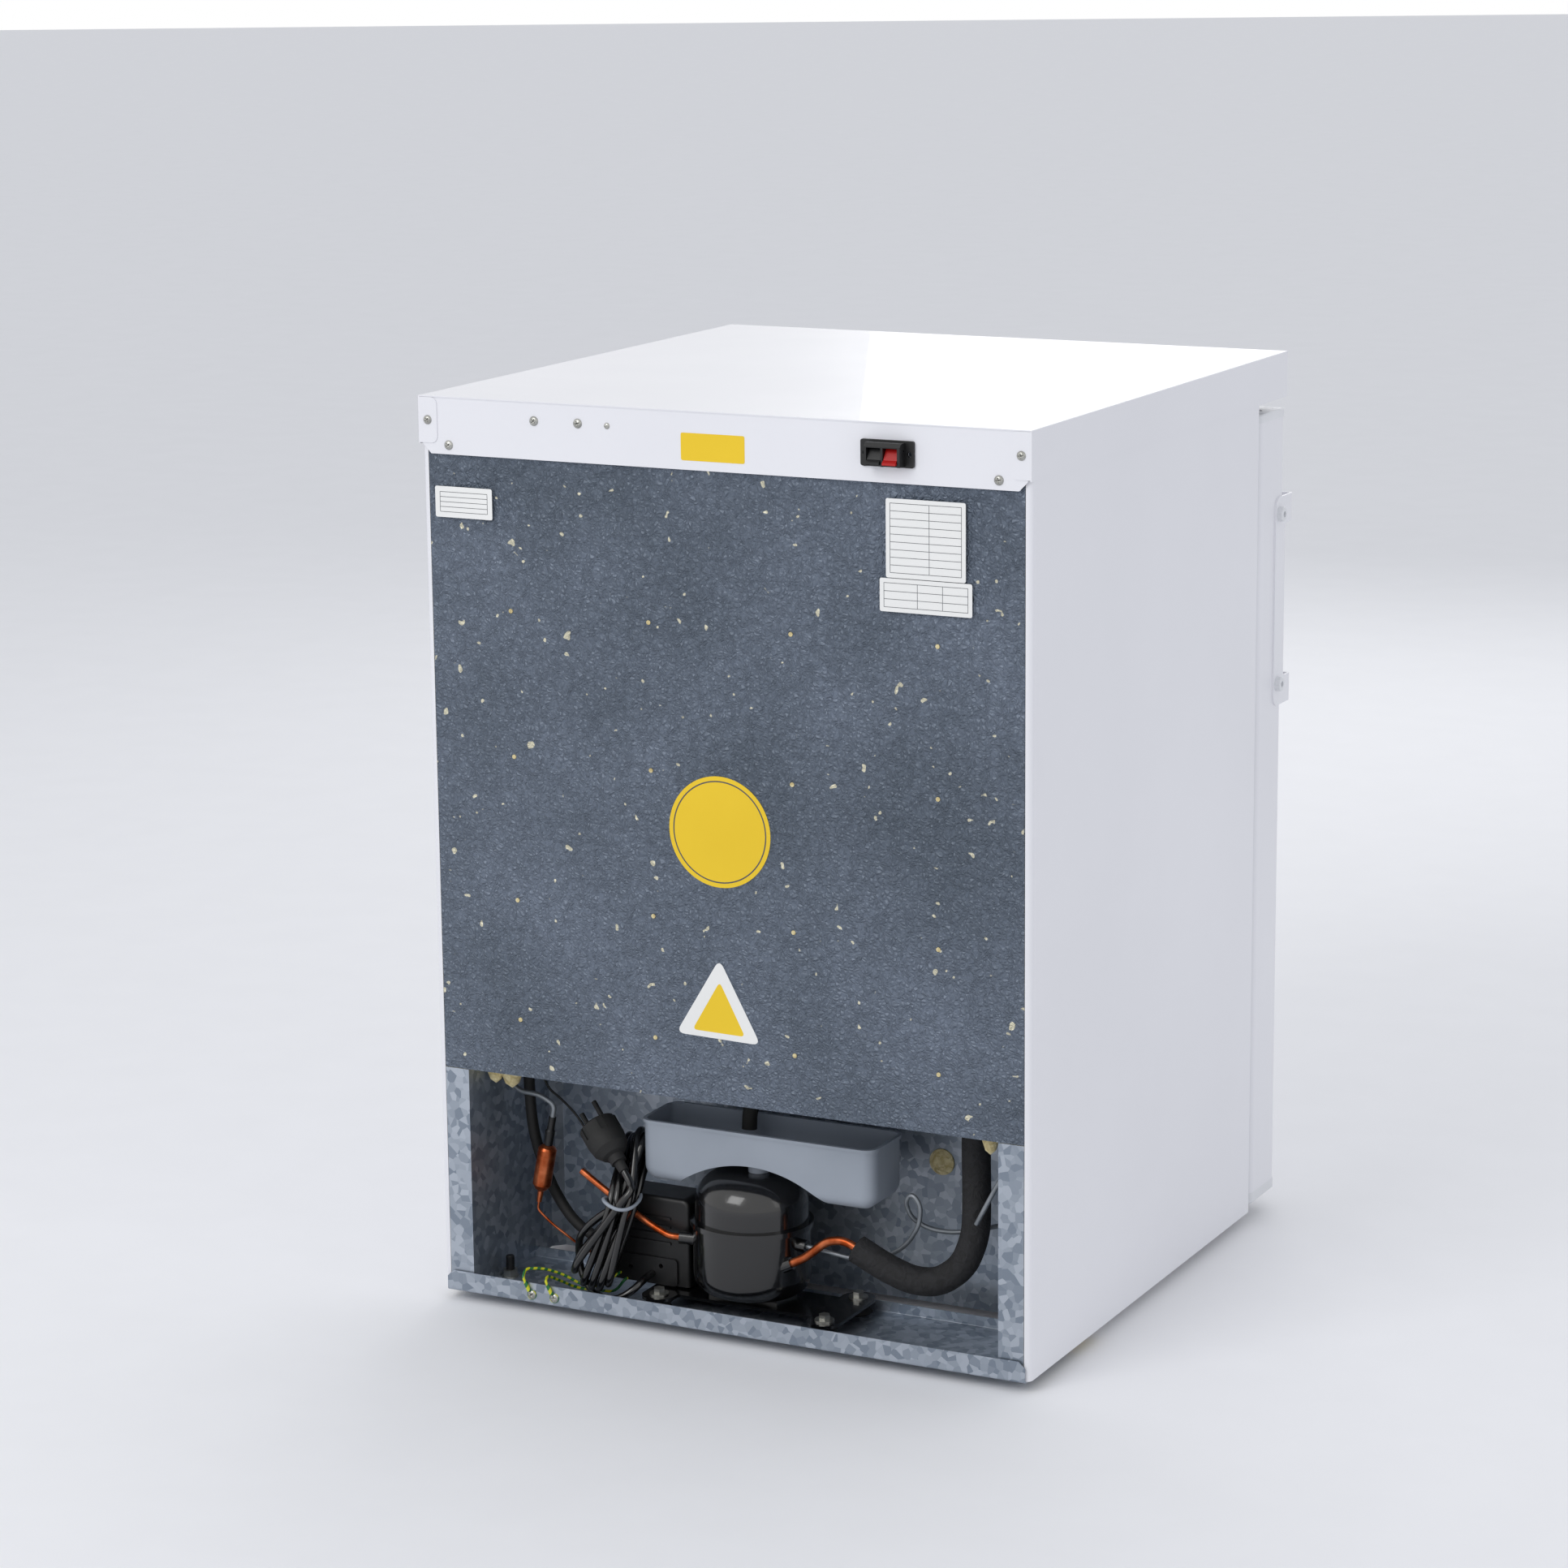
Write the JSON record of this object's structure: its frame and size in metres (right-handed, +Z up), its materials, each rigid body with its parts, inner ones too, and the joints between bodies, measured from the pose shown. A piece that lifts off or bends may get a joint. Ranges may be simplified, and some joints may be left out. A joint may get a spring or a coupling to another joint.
{
  "type": "undercounter laboratory refrigerator",
  "caption": "Undercounter laboratory refrigerator with side-handled door, open rear machine bay and levelling feet.",
  "frame": {"origin": "on the floor, below the middle of the object's box", "axes": "+Z up, -Y to the door, +X to the hinge side as seen from the front"},
  "size_m": [0.6065, 0.636, 0.851],
  "materials": {
    "white_sheet": "white powder coat, fine orange peel",
    "slate_sheet": "dark slate grey embossed coated sheet",
    "galvanised": "galvanised sheet, dull",
    "foam": "rigid polyurethane foam",
    "liner_plastic": "white moulded liner",
    "cap_plastic": "white moulded plastic",
    "gasket_rubber": "dark flexible door seal",
    "black_plastic": "black moulded plastic",
    "red_plastic": "red moulded plastic",
    "window": "dark display window",
    "zinc_steel": "zinc plated steel",
    "compressor_black": "black enamel, semi gloss",
    "copper": "copper tube",
    "steel_tube": "grey coated steel tube",
    "foam_rubber": "black elastomer tube insulation",
    "grey_plastic": "grey moulded plastic",
    "black_rubber": "black cord and conduit rubber",
    "earth_wire": "yellow and green insulated lead",
    "chrome_wire": "chromed steel wire",
    "aluminium": "aluminium fins and tube"
  },
  "bodies": {
    "cabinet": {"back_panel": "slate_sheet", "base_tray": "galvanised", "bay_liner": "galvanised", "bay_wiring": "black_rubber", "cabinet_foam": "foam", "capillary_tube": "copper", "compressor": "compressor_black", "compressor_bolts": "zinc_steel", "compressor_grommets": "black_rubber", "condenser_tubes": "steel_tube", "controller": "black_plastic", "cord_hank": "black_rubber", "cover_screws": "zinc_steel", "discharge_tube": "steel_tube", "display_window": "window", "drain_spout": "black_rubber", "earth_leads": "earth_wire", "evaporation_tray": "grey_plastic", "evaporator_coil": "aluminium", "evaporator_cover": "liner_plastic", "fan_motor": "black_plastic", "feed_cord": "black_rubber", "filter_drier": "copper", "foam_plugs": "foam", "foot_nuts": "zinc_steel", "front_fascia": "white_sheet", "hinge_brackets": "zinc_steel", "inner_liner": "liner_plastic", "joint_sleeve": "black_plastic", "mains_plug": "black_rubber", "outer_shell": "white_sheet", "plug_cord": "black_rubber", "process_tube": "copper", "rear_cover": "white_sheet", "rear_posts": "galvanised", "suction_sleeve": "foam_rubber", "suction_tube": "copper", "temperature_probe": "zinc_steel", "terminal_block": "black_plastic", "terminal_cover": "black_plastic", "top_cover": "white_sheet", "wire_shelf_lower": "chrome_wire", "wire_shelf_upper": "chrome_wire"},
    "door": {"door_skin": "white_sheet", "door_foam": "foam", "door_inner_panel": "liner_plastic", "door_caps": "cap_plastic", "door_gasket": "gasket_rubber", "door_handle": "white_sheet", "handle_screws": "cap_plastic"},
    "fan_rotor": {"fan_rotor": "black_plastic"},
    "lever_black": {"lever_black": "black_plastic"},
    "lever_red": {"lever_red": "red_plastic"},
    "button_1": {"button_1": "grey_plastic"},
    "button_2": {"button_2": "grey_plastic"},
    "button_3": {"button_3": "grey_plastic"},
    "foot_front_left": {"foot_front_left": "black_plastic"},
    "foot_front_right": {"foot_front_right": "black_plastic"},
    "foot_rear_left": {"foot_rear_left": "black_plastic"},
    "foot_rear_right": {"foot_rear_right": "black_plastic"}
  },
  "joints": [
    {"name": "door_hinge", "type": "hinge", "parent": "cabinet", "child": "door", "pos_m": [0.284, -0.265, 0.016], "axis": [0, 0, 1], "range_deg": [0, 120]},
    {"name": "fan_spin", "type": "hinge", "parent": "cabinet", "child": "fan_rotor", "pos_m": [0, 0.2235, 0.65], "axis": [0, 1, 0], "continuous": true},
    {"name": "lever_black_press", "type": "hinge", "parent": "cabinet", "child": "lever_black", "pos_m": [-0.1589, 0.3085, 0.8277], "axis": [-1, 0, 0], "range_deg": [0, 12], "stiffness_Nm_per_rad": 0.05, "springref_deg": -11.46},
    {"name": "lever_red_press", "type": "hinge", "parent": "cabinet", "child": "lever_red", "pos_m": [-0.1744, 0.3085, 0.8277], "axis": [-1, 0, 0], "range_deg": [0, 12], "stiffness_Nm_per_rad": 0.05, "springref_deg": -11.46},
    {"name": "button_1_press", "type": "slide", "parent": "cabinet", "child": "button_1", "axis": [0, 1, 0], "range_m": [0, 0.0006], "stiffness_N_per_m": 400, "springref_m": -0.0005},
    {"name": "button_2_press", "type": "slide", "parent": "cabinet", "child": "button_2", "axis": [0, 1, 0], "range_m": [0, 0.0006], "stiffness_N_per_m": 400, "springref_m": -0.0005},
    {"name": "button_3_press", "type": "slide", "parent": "cabinet", "child": "button_3", "axis": [0, 1, 0], "range_m": [0, 0.0006], "stiffness_N_per_m": 400, "springref_m": -0.0005},
    {"name": "foot_front_left_screw", "type": "slide", "parent": "cabinet", "child": "foot_front_left", "axis": [0, 0, -1], "range_m": [0, 0.012]},
    {"name": "foot_front_right_screw", "type": "slide", "parent": "cabinet", "child": "foot_front_right", "axis": [0, 0, -1], "range_m": [0, 0.012]},
    {"name": "foot_rear_left_screw", "type": "slide", "parent": "cabinet", "child": "foot_rear_left", "axis": [0, 0, -1], "range_m": [0, 0.012]},
    {"name": "foot_rear_right_screw", "type": "slide", "parent": "cabinet", "child": "foot_rear_right", "axis": [0, 0, -1], "range_m": [0, 0.012]}
  ]
}
